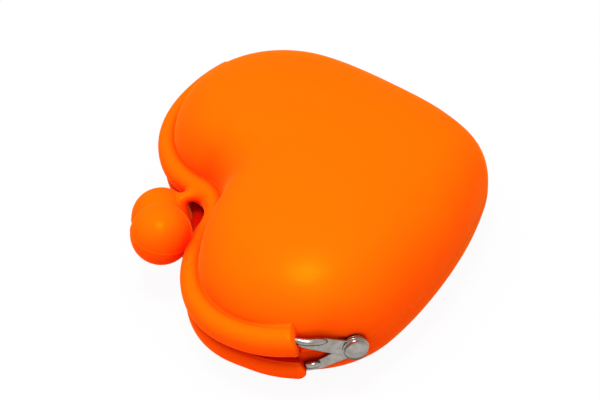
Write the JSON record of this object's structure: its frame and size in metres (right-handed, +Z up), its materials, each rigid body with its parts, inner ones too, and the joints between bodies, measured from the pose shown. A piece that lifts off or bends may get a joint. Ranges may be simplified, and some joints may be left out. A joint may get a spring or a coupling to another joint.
{
  "type": "silicone cosmetic pouch",
  "caption": "Heart-shaped silicone pouch with plump panels, tubular lips over a riveted wire frame, and a kiss-lock clasp of crossed balls at the cleft.",
  "frame": {"origin": "on the resting face, straight below the middle of the hinge axis", "axes": "+X from the mouth towards the tip, +Y along the hinge axis to the side away from the picture's camera, +Z up"},
  "size_m": [0.1082, 0.13, 0.0478],
  "materials": {
    "silicone": "matte, slightly satin",
    "nickel": "polished nickel plate",
    "core_plastic": "plain"
  },
  "bodies": {
    "back_half": {"pouch_back": "silicone", "pouch_fold": "silicone", "back_frame_wire": "nickel", "near_hinge_rivet": "nickel", "far_hinge_rivet": "nickel", "back_clasp_post": "nickel", "back_clasp_core": "core_plastic", "back_ball_cover": "silicone"},
    "front_half": {"pouch_front": "silicone", "front_frame_wire": "nickel", "front_clasp_post": "nickel", "front_clasp_core": "core_plastic", "front_ball_cover": "silicone"}
  },
  "joints": [
    {"name": "mouth_opening", "type": "hinge", "parent": "back_half", "child": "front_half", "pos_m": [0, 0, 0.0203], "axis": [0, 1, 0], "range_deg": [0, 60], "deforming": ["pouch_fold", "front_ball_cover", "back_ball_cover"]}
  ]
}
